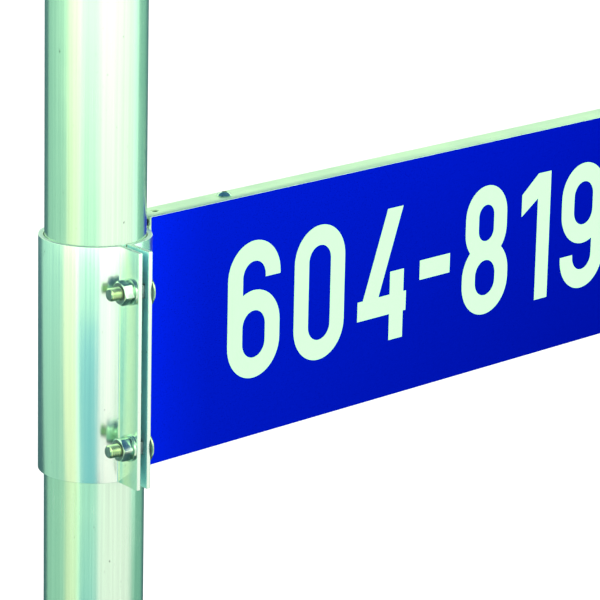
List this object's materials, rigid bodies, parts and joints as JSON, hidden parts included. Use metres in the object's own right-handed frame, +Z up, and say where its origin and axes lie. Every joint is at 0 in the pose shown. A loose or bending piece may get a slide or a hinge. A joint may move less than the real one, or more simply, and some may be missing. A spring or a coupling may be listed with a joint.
{
  "type": "signpost with sign",
  "caption": "Round aluminium signpost with a split clamp carrying a flat hollow street sign out to one side, which swivels round the post.",
  "frame": {"origin": "on the post's axis at ground level, 500 mm above the post's lower end", "axes": "+Z up the post, +X along the sign away from the post, -Y the sign's front"},
  "size_m": [0.7732, 0.26, 3.0112],
  "materials": {
    "post_aluminium": "drawn aluminium tube with fine lengthwise lines",
    "cap_plastic": "moulded, fine matt grain",
    "anchor_steel": "hot-dip galvanised",
    "clamp_aluminium": "extruded, satin, with sawn ends",
    "fastener_steel": "plain stainless steel",
    "sign_aluminium": "extruded, satin",
    "end_cap_plastic": "moulded, fine matt grain",
    "blue_film": "reflective sheeting, smooth",
    "white_film": "reflective sheeting, smooth"
  },
  "bodies": {
    "post": {"post_tube": "post_aluminium", "post_cap": "cap_plastic", "ground_anchor": "anchor_steel"},
    "sign_arm": {"clamp_profile": "clamp_aluminium", "clamp_bolt_upper": "fastener_steel", "clamp_bolt_lower": "fastener_steel", "clamp_washer_upper": "fastener_steel", "clamp_washer_lower": "fastener_steel", "clamp_nut_upper": "fastener_steel", "clamp_nut_lower": "fastener_steel", "sign_profile": "sign_aluminium", "sign_end_cap": "end_cap_plastic", "sign_film_front": "blue_film", "sign_film_back": "blue_film", "numerals_front": "white_film", "numerals_back": "white_film", "button_screw_top": "fastener_steel", "button_screw_bottom": "fastener_steel", "set_screw_top": "fastener_steel", "set_screw_bottom": "fastener_steel"}
  },
  "joints": [
    {"name": "sign_swivel", "type": "hinge", "parent": "post", "child": "sign_arm", "pos_m": [0, 0, 2.178], "axis": [0, 0, 1], "continuous": true}
  ]
}
